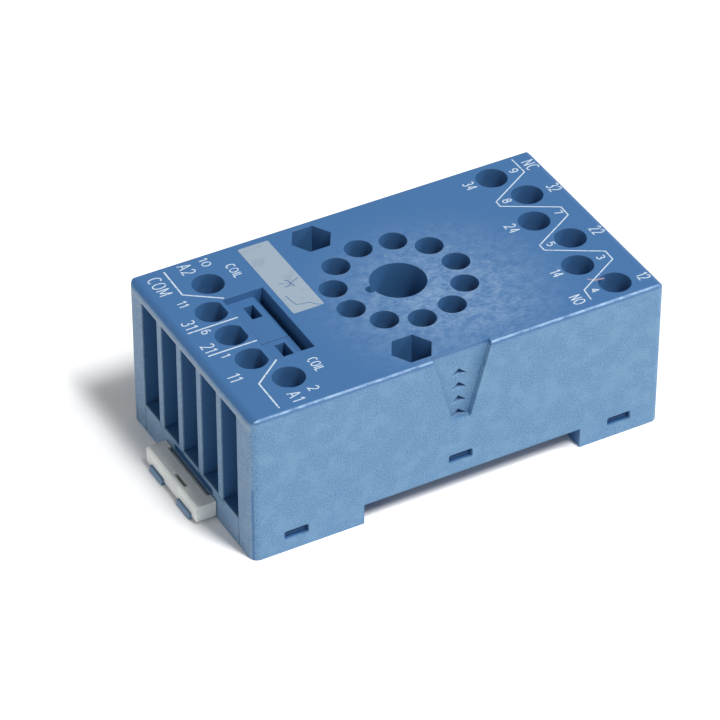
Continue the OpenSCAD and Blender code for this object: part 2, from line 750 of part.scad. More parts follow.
// A contact: the tang in the clamp, the strip and the split sleeve round the relay's pin
module contact(t) {
    side = end_side(t);
    z = run_z(t);
    leg_away = leg_x(t) - side * strip_t / 2;
    tang_end = term_x(t) + side * cage_l / 2;
    color("#b08d57") difference() {
        union() {
            translate([0, 0, z]) linear_extrude(strip_t)
                strip_outline(t, run_w(t), is_low(t) ? leg_x(t) : tang_end);
            disc(pin_x(t), pin_y(t), z, sleeve_r, sleeve_top - z);
            if (is_low(t)) {
                leg_block(t, strip_w, 0, z, strip_top);
                span([min(leg_away, tang_end), term_y(t) - strip_w / 2, strip_z],
                    [max(leg_away, tang_end), term_y(t) + strip_w / 2, strip_top]);
            }
            if (abs(t[2]) == 2)
                module_arm(t[2] / 2);
        }
        disc(pin_x(t), pin_y(t), z - cut, sleeve_bore_r, body_h);
        translate([pin_x(t), pin_y(t), sleeve_top - sleeve_lead])
            cylinder(r1 = sleeve_bore_r, r2 = sleeve_bore_r + sleeve_lead, h = sleeve_lead + cut / 50);
        translate([pin_x(t), pin_y(t), z + strip_t + sleeve_ring_h]) rotate(pin_angle(t) + 90)
            translate([0, -sleeve_slit / 2, 0]) cube([sleeve_r + cut, sleeve_slit, body_h]);
    }
}

// The arm from a coil contact to the blade slot, with two upright leaves for the blade
module module_arm(s) {
    half = module_arm_w / 2;
    riser_y = s * (2 * pitch - strip_w / 2 + strip_t);
    span([blade_x - half, min(riser_y, riser_y - s * strip_t), strip_z],
        [blade_x + half, max(riser_y, riser_y - s * strip_t), arm_z + strip_t]);
    span([blade_x - half, min(riser_y, s * (blade_offset - half)), arm_z],
        [blade_x + half, max(riser_y, s * (blade_offset - half)), arm_z + strip_t]);
    for (k = [-1, 1]) {
        x = blade_x + k * (blade_slot_w / 2 - fit_gap - leaf_t / 2);
        span([x - leaf_t / 2, s * blade_offset - half, arm_z], [x + leaf_t / 2, s * blade_offset + half, arm_z + leaf_h]);
    }
}

// A box clamp: a square frame whose threaded top rides on the screw
module cage(t) {
    h = cage_top_z - cage_foot_z;
    r = cage_edge_r;
    color("#c8c8c4") translate([term_x(t), term_y(t), cage_foot_z]) difference() {
        rotate([90, 0, 90]) linear_extrude(cage_l, center = true) {
            translate([-cage_w / 2 + r, 0]) square([cage_w - 2 * r, h]);
            translate([-cage_w / 2, r]) square([cage_w, h - 2 * r]);
            for (u = [-1, 1], v = [r, h - r])
                translate([u * (cage_w / 2 - r), v]) circle(r);
        }
        span([-cage_l, -cage_w / 2 + cage_side_t, cage_floor_t],
            [cage_l, cage_w / 2 - cage_side_t, h - cage_top_t]);
        disc(0, 0, h - cage_top_t - cut, screw_r + screw_play, cage_top_t + 2 * cut);
    }
}

// A captive terminal screw with a cross slot
module screw(t) {
    color("#b9bcc0") translate([term_x(t), term_y(t), 0]) difference() {
        union() {
            translate([0, 0, screw_tip_z]) cylinder(r1 = screw_r - screw_tip, r2 = screw_r, h = screw_tip);
            translate([0, 0, screw_tip_z + screw_tip]) cylinder(r = screw_r, h = head_z - screw_tip_z - screw_tip);
            translate([0, 0, head_z]) cylinder(r = head_r, h = head_h - head_chamfer);
            translate([0, 0, head_z + head_h - head_chamfer])
                cylinder(r1 = head_r, r2 = head_r - head_chamfer, h = head_chamfer);
        }
        translate([0, 0, head_z + head_h]) {
            cube([2 * (head_r + cut), cross_w, 2 * cross_depth], center = true);
            cube([cross_short_w, cross_short_l, 2 * cross_short_depth], center = true);
        }
    }
}

housing();
contact_carrier();
base_plate();
rail_clip();
for (t = TERMINALS) {
    contact(t);
    cage(t);
    screw(t);
}
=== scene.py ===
"""Looks of an eleven-pin relay socket: its print, its finishes, and the light and camera round it.

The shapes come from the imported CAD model, which is the frame. Sizes here are in millimetres and
become metres where a mesh is placed. X runs from the rail clip's end to the far end, Y across and
Z up.
"""

import logging
import math
from dataclasses import dataclass
from enum import Enum

import bmesh
import bpy
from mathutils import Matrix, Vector


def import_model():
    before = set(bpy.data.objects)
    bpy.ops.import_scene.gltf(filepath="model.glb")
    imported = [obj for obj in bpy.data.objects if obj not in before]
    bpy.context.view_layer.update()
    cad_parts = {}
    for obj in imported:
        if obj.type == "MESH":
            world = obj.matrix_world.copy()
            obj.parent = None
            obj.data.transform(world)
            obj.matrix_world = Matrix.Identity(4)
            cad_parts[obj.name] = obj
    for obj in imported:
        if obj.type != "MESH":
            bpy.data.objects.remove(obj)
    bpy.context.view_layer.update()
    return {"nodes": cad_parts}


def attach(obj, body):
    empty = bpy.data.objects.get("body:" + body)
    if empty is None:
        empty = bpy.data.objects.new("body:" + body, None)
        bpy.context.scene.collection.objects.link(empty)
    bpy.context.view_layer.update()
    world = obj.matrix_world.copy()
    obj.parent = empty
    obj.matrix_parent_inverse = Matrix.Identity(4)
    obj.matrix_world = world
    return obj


LOG = logging.getLogger("relay_socket")
MM = 0.001
TERMINALS = ("a2", "31", "21", "11", "a1", "34", "32", "24", "22", "14", "12")
PRINT_HEIGHT = 0.015
LAYER_HEIGHT = 0.002
LAYERS = 3
ARC_STEP = 20
SMALLEST = 1e-6

Socket = bpy.types.NodeSocket
Path = tuple[tuple[float, float], ...]


@dataclass(frozen=True)
class Body:
    """The moulded body's outer sizes, in the frame that the CAD model fixes."""

    length: float = 67.0
    width: float = 38.0
    height: float = 25.0
    clip_out: float = 3.3
    tab_out: float = 0.4
    socket_from_end: float = 33.75

    @property
    def half_l(self) -> float:
        """Half of the body's length."""
        return self.length / 2

    @property
    def half_w(self) -> float:
        """Half of the body's width."""
        return self.width / 2

    @property
    def middle_x(self) -> float:
        """X of the middle of the body, which the clip and its tabs set off the origin."""
        return (self.clip_out + self.tab_out) / 2

    @property
    def clip_end_x(self) -> float:
        """X of the end face that the rail clip stands out of."""
        return self.middle_x - self.half_l

    @property
    def socket_x(self) -> float:
        """X of the middle of the pin circle."""
        return self.clip_end_x + self.socket_from_end


BODY = Body()


def to_linear(tone: str) -> tuple[float, float, float, float]:
    """Turn an sRGB colour into the linear colour that the shaders take.

    Args:
        tone: The colour as "#rrggbb".

    Returns:
        Red, green and blue in linear light, and an alpha of 1.
    """
    parts = [int(tone[i : i + 2], 16) / 255 for i in (1, 3, 5)]
    linear = [c / 12.92 if c <= 0.04045 else ((c + 0.055) / 1.055) ** 2.4 for c in parts]
    return (linear[0], linear[1], linear[2], 1.0)


def per_size(size: float) -> float:
    """Scale of a pattern on Object coordinates whose features are size millimetres apart."""
    return 1 / (size * MM)


def as_tone(tone: object) -> object:
    """Turn a "#rrggbb" colour into a linear one, and leave an output as it is."""
    return to_linear(tone) if isinstance(tone, str) else tone


def add_node(tree: bpy.types.NodeTree, kind: str, sockets: dict | None = None,
             **settings: object) -> bpy.types.Node:
    """Add a shader node with its settings, its values and its links.

    Args:
        tree: The material's node tree.
        kind: The node's type, without the "ShaderNode" that all of them start with.
        sockets: For each input, by name or number, a value or the output that feeds it.
        settings: The node's own settings, such as its operation.

    Returns:
        The new node.
    """
    node = tree.nodes.new("ShaderNode" + kind)
    for key, value in settings.items():
        setattr(node, key, value)
    for key, value in (sockets or {}).items():
        if isinstance(value, Socket):
            tree.links.new(value, node.inputs[key])
        else:
            node.inputs[key].default_value = value
    return node


class Step(Enum):
    """Which way a soft step on a value goes."""

    UP = (0.0, 1.0)
    DOWN = (1.0, 0.0)


@dataclass(frozen=True)
class Grain:
    """An uneven pattern and the contrast that it is brought to.

    Its size is the distance between features in millimetres. Detail is how many finer patterns are
    laid over it, and roughness how strong they are. The contrast is the two strengths that become 0
    and 1. A squeeze below 1 draws the features out along its axis.
    """

    size: float
    detail: float = 2.0
    roughness: float = 0.5
    contrast: tuple[float, float] = (0.0, 1.0)
    squeeze: tuple[float, float, float] = (1.0, 1.0, 1.0)


@dataclass(frozen=True)
class Relief:
    """A fine relief: the grain that it follows, its height in millimetres and its strength."""

    grain: Grain
    height: float
    strength: float


class Pattern:
    """The node tree of one finish, with the places on the object that its masks are made from."""

    def __init__(self, name: str) -> None:
        """Start a material.

        Args:
            name: The material's name.
        """
        self.material = bpy.data.materials.new(name)
        self.material.use_nodes = True
        self.tree = self.material.node_tree
        self.tree.nodes.clear()
        self.place = add_node(self.tree, "TexCoord").outputs["Object"]
        axes = add_node(self.tree, "SeparateXYZ", {0: self.place})
        self.x, self.y, self.z = axes.outputs

    def step(self, value: Socket, start: float, end: float, way: Step = Step.UP) -> Socket:
        """Make a soft step from one value to another.

        Args:
            value: What the step is made on.
            start: The value where the step starts.
            end: The value where it ends.
            way: Whether the step rises from 0 to 1 or falls from 1 to 0.

        Returns:
            The step, from 0 to 1.
        """
        low, high = way.value
        sockets = {"Value": value, "From Min": start, "From Max": end, "To Min": low, "To Max": high}
        return add_node(self.tree, "MapRange", sockets, interpolation_type="SMOOTHSTEP").outputs[0]

    def under(self, value: Socket, face: float, depths: tuple[float, float],
              way: Step = Step.UP) -> Socket:
        """Make a soft step from one depth under a face to another.

        Args:
            value: The distance in metres that the face is at the end of.
            face: The face's distance in millimetres.
            depths: The depths where the step starts and ends, in millimetres.
            way: Whether the step rises or falls.

        Returns:
            The step, from 0 to 1.
        """
        start, end = ((face - depth) * MM for depth in depths)
        return self.step(value, start, end, way)

    def sum(self, operation: str, *values: object) -> Socket:
        """Join values by a sum such as MULTIPLY, MAXIMUM or ABSOLUTE.

        Args:
            operation: The name of the sum.
            values: As many values or outputs as the sum takes.

        Returns:
            The result.
        """
        return add_node(self.tree, "Math", dict(enumerate(values)), operation=operation).outputs[0]

    def noise(self, grain: Grain) -> Socket:
        """Make an uneven pattern.

        Args:
            grain: What the pattern is like.

        Returns:
            Its strength before its contrast is set.
        """
        place = add_node(self.tree, "Mapping", {"Vector": self.place, "Scale": grain.squeeze})
        sockets = {"Vector": place.outputs[0], "Scale": per_size(grain.size), "Detail": grain.detail,
                   "Roughness": grain.roughness}
        return add_node(self.tree, "TexNoise", sockets).outputs[0]

    def grained(self, grain: Grain) -> Socket:
        """Make an uneven pattern at its contrast.

        Args:
            grain: What the pattern is like.

        Returns:
            Its strength, from 0 to 1.
        """
        return self.step(self.noise(grain), *grain.contrast)

    def distance(self, x: float, y: float) -> Socket:
        """Measure the distance from an upright axis.

        Args:
            x: The axis's X in millimetres.
            y: The axis's Y in millimetres.

        Returns:
            The distance in metres.
        """
        along, across = self.sum("SUBTRACT", self.x, x * MM), self.sum("SUBTRACT", self.y, y * MM)
        squares = self.sum("POWER", along, 2.0), self.sum("POWER", across, 2.0)
        return self.sum("SQRT", self.sum("ADD", *squares))

    def masked(self, *shares: object) -> Socket:
        """Multiply masks and shares.

        Args:
            shares: Values or outputs.

        Returns:
            Their product.
        """
        result = shares[0]
        for share in shares[1:]:
            result = self.sum("MULTIPLY", result, share)
        return result

    def blend(self, share: object, first: object, second: object) -> Socket:
        """Blend two colours.

        Args:
            share: How much of the second colour there is.
            first: The first colour, as "#rrggbb" or an output.
            second: The second colour, as "#rrggbb" or an output.

        Returns:
            The blended colour.
        """
        sockets = {0: share, 6: as_tone(first), 7: as_tone(second)}
        return add_node(self.tree, "Mix", sockets, data_type="RGBA").outputs[2]

    def finish(self, relief: Relief | None = None, edge: float = 0.0, sharp: Socket | None = None,
               **surface: object) -> bpy.types.Material:
        """Close the material with a surface shader.

        Args:
            relief: Its fine relief, or None for none.
            edge: The radius in millimetres that sharp edges are softened to, or 0.
            sharp: A mask of where edges are left as they are, or None.
            surface: Values or outputs for the shader's inputs, named with "_" for each space.

        Returns:
            The finished material.
        """
        sockets = {key.replace("_", " "): value for key, value in surface.items()}
        normal = {}
        if edge:
            soft = add_node(self.tree, "Bevel", {"Radius": edge * MM}, samples=4).outputs[0]
            normal = {"Normal": soft}
        if edge and sharp:
            plain = add_node(self.tree, "NewGeometry").outputs["Normal"]
            either = {0: sharp, 4: soft, 5: plain}
            normal = {"Normal": add_node(self.tree, "Mix", either, data_type="VECTOR").outputs[1]}
        if relief:
            height = {"Height": self.noise(relief.grain), "Distance": relief.height * MM,
                      "Strength": relief.strength}
            normal = {"Normal": add_node(self.tree, "Bump", height | normal).outputs[0]}
        shader = add_node(self.tree, "BsdfPrincipled", sockets | normal)
        add_node(self.tree, "OutputMaterial", {"Surface": shader.outputs[0]})
        return self.material


@dataclass(frozen=True)
class MouldedPolyamide:
    """Glass-filled polyamide, moulded in a spark-eroded tool.

    The eye sees a satin face in one strong colour. On the upright faces, which are drawn out of the
    tool, the tool's fine grit shows as speckle, and these faces are painted paler than the top:
    painted sheen for the light that they catch at a low angle. The end faces carry streaks of painted
    grey reflection. The long edges round the top are pale, partly with wear from handling and partly
    with a painted highlight of their rounding, and the end edges have a pale grey strip under their
    rounding.
    Each pair of lengths is two depths under a face or two distances from an axis, in millimetres,
    between which a tone comes in.
    """

    name: str = "blue_polyamide"
    has_top: bool = True
    tone: str = "#335F8F"
    # Painted sheen: the three side tones are paler than the top's tone for the light that the upright
    # faces catch; the dark one is also the top's real speckle tone.
    side_sheen_tone: str = "#6289AC"
    speckle_and_sheen_dark: str = "#446B8E"
    side_sheen_pale: str = "#7094B1"
    # Painted grey reflection, streaked over the end faces; the same grey makes the pale strip under
    # the end edges' rounding.
    end_grey: str = "#8798AC"
    worn_tone: str = "#8CA5BF"
    # Pale line along the long top edges: partly wear, partly a painted highlight of the rounded edge.
    rub_and_highlight_tone: str = "#9FBDD6"
    roughness: float = 0.5
    side_roughness: float = 0.6
    edge: float = 0.14
    relief: Relief = Relief(Grain(0.2, 3.0, 0.65), 0.016, 0.5)
    side_speckle: tuple[float, float] = (0.36, 0.64)
    top_speckle: tuple[float, float] = (0.35, 0.65)
    top_speckle_share: float = 0.2
    clouds: Grain = Grain(2.6, 4.0, 0.6, (0.42, 0.66))
    cloud_share: float = 0.3
    # Streaks of painted grey reflection on the end faces.
    end_reflection_streaks: Grain = Grain(0.3, 4.0, 0.65, (0.25, 0.75), (1.0, 0.35, 1.0))
    end_reflection_share: float = 0.6
    haze: Grain = Grain(1.5, 4.0, 0.6, (0.2, 0.8))
    streaks: Grain = Grain(0.3, 5.0, 0.7, (0.45, 0.75), (0.4, 1.0, 1.0))
    wear_share: float = 0.4
    wear_middle: tuple[float, float] = (4.0, -6.0)
    wear_reach: tuple[float, float] = (3.0, 23.0)
    # The speckled pattern of that pale line: wear and painted highlight.
    rubs_and_highlight: Grain = Grain(0.8, 6.0, 0.75, (0.34, 0.66), (0.4, 0.6, 1.0))
    rub_and_highlight_share: float = 0.65
    end_strip_share: float = 0.7
    side_skin: tuple[float, float] = (0.45, 0.2)
    recess_skin: tuple[float, float] = (1.2, 1.05)
    recess_foot: tuple[float, float] = (12.6, 12.2)
    end_skin: tuple[float, float] = (0.3, 0.12)
    top_skin: tuple[float, float] = (0.1, 0.05)
    rim: tuple[float, float] = (0.9, 0.3)
    # Where the pale line of wear and painted highlight runs along the long top edges.
    long_rub_and_highlight: tuple[float, float] = (0.36, 0.2)
    long_rub_and_highlight_foot: tuple[float, float] = (0.34, 0.2)
    # Where the pale grey strip runs under the end edges' rounding.
    end_strip: tuple[float, float] = (0.4, 0.1)
    end_strip_foot: tuple[float, float] = (1.9, 1.7)
    end_strip_top: tuple[float, float] = (1.2, 0.8)
    insert_ring: tuple[float, float, float, float] = (11.4, 11.6, 13.0, 13.2)

    def build(self) -> bpy.types.Material:
        """Make the material.

        Returns:
            The material, with its sides painted pale with sheen and its worn and highlighted places
            in the frame's coordinates.
        """
        p = Pattern(self.name)
        across = p.sum("ABSOLUTE", p.y)
        along = p.sum("ABSOLUTE", p.sum("SUBTRACT", p.x, BODY.middle_x * MM))
        in_recess = p.masked(p.under(across, BODY.half_w, self.recess_skin),
                             p.under(p.z, BODY.height, self.recess_foot))
        at_side = p.sum("MAXIMUM", p.under(across, BODY.half_w, self.side_skin), in_recess)
        at_end = p.under(along, BODY.half_l, self.end_skin)
        upright = p.masked(p.sum("MAXIMUM", at_side, at_end),
                           p.under(p.z, BODY.height, self.rim, Step.DOWN))
        grit = p.noise(self.relief.grain)
        colour = self.worn_top(p, grit) if self.has_top else self.tone
        # Painted sheen: the upright faces take tones paler than the top's.
        colour = p.blend(upright, colour, self.side(p, grit, at_end))
        sharp = None
        if self.has_top:
            colour = self.pale_top_edges(p, colour, across, along)
            sharp = self.insert_edge(p)
        rough = p.sum("MULTIPLY_ADD", upright, self.side_roughness - self.roughness, self.roughness)
        return p.finish(self.relief, self.edge, sharp, Base_Color=colour, Roughness=rough, IOR=1.5)

    def side(self, p: Pattern, grit: Socket, at_end: Socket) -> Socket:
        """Colour the upright faces: speckled and clouded, painted paler than the top with sheen, and
        streaked grey at the ends with painted reflection.

        Args:
            p: The finish's node tree.
            grit: The fine pattern of the moulded face.
            at_end: A mask of the end faces.

        Returns:
            Their colour.
        """
        # Painted sheen: the side tones are paler than the top's; the speckle between them is the real
        # grit.
        speckled = p.blend(p.step(grit, *self.side_speckle), self.speckle_and_sheen_dark, self.side_sheen_tone)
        clouds = p.masked(p.grained(self.clouds), self.cloud_share)
        clouded = p.blend(clouds, speckled, self.side_sheen_pale)
        # Painted grey reflection: grey streaks on the end faces.
        end_reflection_streaks = p.masked(at_end, p.grained(self.end_reflection_streaks), self.end_reflection_share)
        return p.blend(end_reflection_streaks, clouded, self.end_grey)

    def worn_top(self, p: Pattern, grit: Socket) -> Socket:
        """Colour the top face, pale round the pin circle where relays are plugged in and out.

        Args:
            p: The finish's node tree.
            grit: The fine pattern of the moulded face.

        Returns:
            The top face's colour.
        """
        away = p.distance(BODY.socket_x + self.wear_middle[0], self.wear_middle[1])
        near = p.step(away, self.wear_reach[0] * MM, self.wear_reach[1] * MM, Step.DOWN)
        on_top = p.under(p.z, BODY.height, self.top_skin)
        marks = p.sum("ADD", p.grained(self.haze), p.grained(self.streaks))
        # Real speckle on the top, in the sides' dark speckle tone.
        speckle = p.masked(p.step(grit, *self.top_speckle), self.top_speckle_share)
        speckled = p.blend(speckle, self.tone, self.speckle_and_sheen_dark)
        return p.blend(p.masked(near, on_top, marks, self.wear_share), speckled, self.worn_tone)

    def pale_top_edges(self, p: Pattern, colour: Socket, across: Socket, along: Socket) -> Socket:
        """Make the edges round the top face pale: a speckled line along the long edges, partly wear
        and partly a painted highlight of their rounding, and a pale grey strip under the end edges'
        rounding.

        Args:
            p: The finish's node tree.
            colour: The colour under the wear.
            across: The distance from the middle across the body, in metres.
            along: The distance from the middle along the body, in metres.

        Returns:
            The colour with the pale edges on it.
        """
        long_edge = p.masked(p.under(across, BODY.half_w, self.long_rub_and_highlight),
                             p.under(p.z, BODY.height, self.long_rub_and_highlight_foot))
        # A pale grey strip just under the rounding of the end edges.
        end_edge = p.masked(p.under(along, BODY.half_l, self.end_strip),
                            p.under(p.z, BODY.height, self.end_strip_foot),
                            p.under(p.z, BODY.height, self.end_strip_top, Step.DOWN))
        end_grey = p.blend(p.masked(end_edge, self.end_strip_share), colour, self.end_grey)
        # Pale speckled line along the long edges: partly wear, partly a painted highlight of the
        # rounding.
        rubs_and_highlight = p.masked(long_edge, p.grained(self.rubs_and_highlight), self.rub_and_highlight_share)
        return p.blend(rubs_and_highlight, end_grey, self.rub_and_highlight_tone)

    def insert_edge(self, p: Pattern) -> Socket:
        """Mask the ring where the contact carrier's insert meets the housing, flush and unbroken.

        Args:
            p: The finish's node tree.

        Returns:
            The mask.
        """
        away = p.distance(BODY.socket_x, 0.0)
        inner, inner_end, outer, outer_end = (radius * MM for radius in self.insert_ring)
        return p.masked(p.step(away, inner, inner_end), p.step(away, outer, outer_end, Step.DOWN))


@dataclass(frozen=True)
class NaturalPolyamide:
    """Unfilled polyamide in its natural white: the eye sees a smooth, slightly waxy pale face."""

    name: str = "white_polyamide"
    tone: str = "#DCE0DE"
    dusty: str = "#CDD2D1"
    roughness: float = 0.42
    clouds: Grain = Grain(4.0, 4.0, contrast=(0.4, 0.7))
    relief: Relief = Relief(Grain(0.3), 0.006, 0.4)
    edge: float = 0.16
    depth: float = 0.8

    def build(self) -> bpy.types.Material:
        """Make the material.

        Returns:
            The material.
        """
        p = Pattern(self.name)
        colour = p.blend(p.grained(self.clouds), self.tone, self.dusty)
        return p.finish(self.relief, self.edge, Base_Color=colour, Roughness=self.roughness, IOR=1.53,
                        Subsurface_Weight=0.12, Subsurface_Scale=self.depth * MM)


@dataclass(frozen=True)
class RolledBrass:
    """Stamped strip of rolled brass: the eye sees a warm metal with fine lines and a dull bloom."""

    name: str = "rolled_brass"
    tone: str = "#C9A265"
    bloom: str = "#9C7B4A"
    roughness: float = 0.34
    clouds: Grain = Grain(0.9, 4.0, 0.6, (0.45, 0.75))
    relief: Relief = Relief(Grain(0.15, squeeze=(0.08, 1.0, 1.0)), 0.004, 0.4)

    def build(self) -> bpy.types.Material:
        """Make the material.

        Returns:
            The material.
        """
        p = Pattern(self.name)
        colour = p.blend(p.grained(self.clouds), self.tone, self.bloom)
        return p.finish(self.relief, Base_Color=colour, Roughness=self.roughness, Metallic=1.0)


@dataclass(frozen=True)
class ZincPlatedSteel:
    """Steel with a bright zinc plating: the eye sees a cool, softly clouded metal."""

    name: str = "zinc_plated_steel"
    tone: str = "#C9CBC9"
    cloud_tone: str = "#A9ACAD"
    roughness: float = 0.3
    clouds: Grain = Grain(1.2, 5.0, 0.6, (0.4, 0.7))
    relief: Relief = Relief(Grain(0.12), 0.003, 0.35)

    def build(self) -> bpy.types.Material:
        """Make the material.

        Returns:
            The material.
        """
        p = Pattern(self.name)
        colour = p.blend(p.grained(self.clouds), self.tone, self.cloud_tone)
        return p.finish(self.relief, Base_Color=colour, Roughness=self.roughness, Metallic=1.0)


@dataclass(frozen=True)
class PadPrintInk:
    """A thin film of pad-printed ink: the eye sees matt strokes with small breaks in them."""

    name: str = "print_ink"
    tone: str = "#B4C2CE"
    under: str = "#5E86B4"
    breaks: Grain = Grain(0.35, 3.0, 0.6, (0.56, 0.68))
    roughness: float = 0.55

    def build(self) -> bpy.types.Material:
        """Make the material.

        Returns:
            The material.
        """
        p = Pattern(self.name)
        colour = p.blend(p.grained(self.breaks), self.tone, self.under)
        return p.finish(Base_Color=colour, Roughness=self.roughness, IOR=1.5)


PANEL_PAINT = PadPrintInk(
    "panel_paint", "#8796A5", "#7F8F9F", Grain(2.5, 3.0, 0.6, (0.54, 0.66)), roughness=0.6)
METAL_DUST = PadPrintInk(
    "metal_dust", "#A9826A", "#5F80A6", Grain(0.25, 3.0, 0.6, (0.44, 0.56)), roughness=0.6)


def new_piece(name: str, bm: bmesh.types.BMesh, finish: bpy.types.Material) -> bpy.types.Object:
    """Turn a bmesh in millimetres into a piece in the frame's metres, dressed in its finish.

    Args:
        name: The piece's name.
        bm: Its shape, which this frees.
        finish: Its material.

    Returns:
        The new object, at the origin and untransformed.
    """
    bmesh.ops.scale(bm, vec=(MM, MM, MM), verts=bm.verts)
    mesh = bpy.data.meshes.new(name)
    bm.to_mesh(mesh)
    bm.free()
    mesh.materials.append(finish)
    piece = bpy.data.objects.new(name, mesh)
    bpy.context.scene.collection.objects.link(piece)
    LOG.info("%s: %d faces", name, len(mesh.polygons))
    return piece


def arc(middle: tuple[float, float], radii: tuple[float, float], start: float, end: float) -> Path:
    """Draw part of an ellipse.

    Args:
        middle: Its middle.
        radii: Its radii along the two axes.
        start: The angle where the part starts, in degrees.
        end: The angle where it ends.

    Returns:
        Points along it.
    """
    steps = round(abs(end - start) / ARC_STEP)
    turns = [math.radians(start + (end - start) * i / steps) for i in range(steps + 1)]
    (x, y), (wide, tall) = middle, radii
    return tuple((x + wide * math.cos(turn), y + tall * math.sin(turn)) for turn in turns)


GLYPHS: dict[str, tuple[Path, ...]] = {
    "0": (arc((0.28, 0.5), (0.28, 0.5), 0, 360),),
    "1": (((0, 0.78), (0.22, 1)), ((0.22, 1), (0.22, 0))),
    "2": (arc((0.26, 0.73), (0.26, 0.27), 165, -40) + ((0, 0), (0.54, 0)),),
    "3": (arc((0.24, 0.76), (0.23, 0.24), 150, -90), arc((0.24, 0.27), (0.26, 0.27), 90, -150)),
    "4": (((0.42, 0), (0.42, 1)), ((0.42, 1), (0, 0.3)), ((0, 0.3), (0.56, 0.3))),
    "5": (((0.46, 1), (0.08, 1), (0.04, 0.56)) + arc((0.24, 0.32), (0.26, 0.32), 130, -140),),
    "6": (arc((0.28, 0.5), (0.28, 0.5), 55, 180) + ((0, 0.3),),
          arc((0.28, 0.3), (0.28, 0.3), 0, 360)),
    "7": (((0, 1), (0.5, 1)), ((0.5, 1), (0.18, 0))),
    "8": (arc((0.26, 0.76), (0.22, 0.24), 0, 360), arc((0.26, 0.27), (0.26, 0.27), 0, 360)),
    "9": (arc((0.28, 0.7), (0.28, 0.3), 0, 360),
          ((0.56, 0.7),) + arc((0.28, 0.5), (0.28, 0.5), 0, -125)),
    "A": (((0, 0), (0.33, 1)), ((0.33, 1), (0.66, 0)), ((0.12, 0.33), (0.54, 0.33))),
    "C": (arc((0.37, 0.5), (0.37, 0.5), 50, 310),),
    "I": (((0, 0), (0, 1)),),
    "L": (((0, 1), (0, 0), (0.46, 0)),),
    "M": (((0, 0), (0, 1)), ((0, 1), (0.4, 0.15)), ((0.4, 0.15), (0.8, 1)), ((0.8, 1), (0.8, 0))),
    "N": (((0, 0), (0, 1)), ((0, 1), (0.62, 0)), ((0.62, 0), (0.62, 1))),
    "O": (arc((0.38, 0.5), (0.38, 0.5), 0, 360),),
}


@dataclass(frozen=True)
class Mark:
    """One printed word or number, which reads across the body, its feet towards the clip end.

    Its foot is measured from the clip end and its start across the body from the middle. Cap is how
    tall it is and width how wide, all in millimetres.
    """

    text: str
    foot: float
    start: float
    cap: float
    width: float

    def strokes(self, weight: float, spacing: float = 0.34) -> list[Path]:
        """Lay the mark's strokes on the top face.

        Args:
            weight: The width of a stroke.
            spacing: The space between two letters' strokes, as a share of their height.

        Returns:
            The middle lines of the strokes, as points (from the clip end, across).
        """
        lines, reach = [], 0.0
        for letter in self.text:
            lines += [[(reach + u, v) for u, v in path] for path in GLYPHS[letter]]
            reach = max(u for line in lines for u, _ in line) + spacing
        wide = (self.width - weight) / (reach - spacing)
        tall = self.cap - weight
        foot, start = self.foot + weight / 2, self.start - weight / 2
        return [tuple((foot + v * tall, start - u * wide) for u, v in line) for line in lines]


@dataclass
class Ribbon:
    """Thin lines of even width on the top face, along paths of points (from the clip end, across)."""

    name: str
    width: float
    paths: tuple[Path, ...] | list[Path]
    height: float = PRINT_HEIGHT

    def build(self, finish: bpy.types.Material) -> bpy.types.Object:
        """Lay the lines down, each on one of three layers, so that crossing ones don't share a face.

        Args:
            finish: Their material.

        Returns:
            The piece: upright walls along the paths, which a Solidify modifier gives their width.
        """
        bm = bmesh.new()
        for number, path in enumerate(self.paths):
            is_loop = math.dist(path[0], path[-1]) < SMALLEST
            places = path[:-1] if is_loop else path
            points = [bm.verts.new((BODY.clip_end_x + u, y, BODY.height)) for u, y in places]
            pairs = list(zip(points, points[1:])) + ([(points[-1], points[0])] if is_loop else [])
            edges = [bm.edges.new(pair) for pair in pairs]
            raised = bmesh.ops.extrude_edge_only(bm, edges=edges)["geom"]
            top = [g for g in raised if isinstance(g, bmesh.types.BMVert)]
            rise = self.height + number % LAYERS * LAYER_HEIGHT
            bmesh.ops.translate(bm, vec=(0, 0, rise), verts=top)
        piece = new_piece(self.name, bm, finish)
        wall = piece.modifiers.new("width", "SOLIDIFY")
        wall.thickness = self.width * MM
        wall.offset = 0
        wall.use_even_offset = True
        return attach(piece, "body")


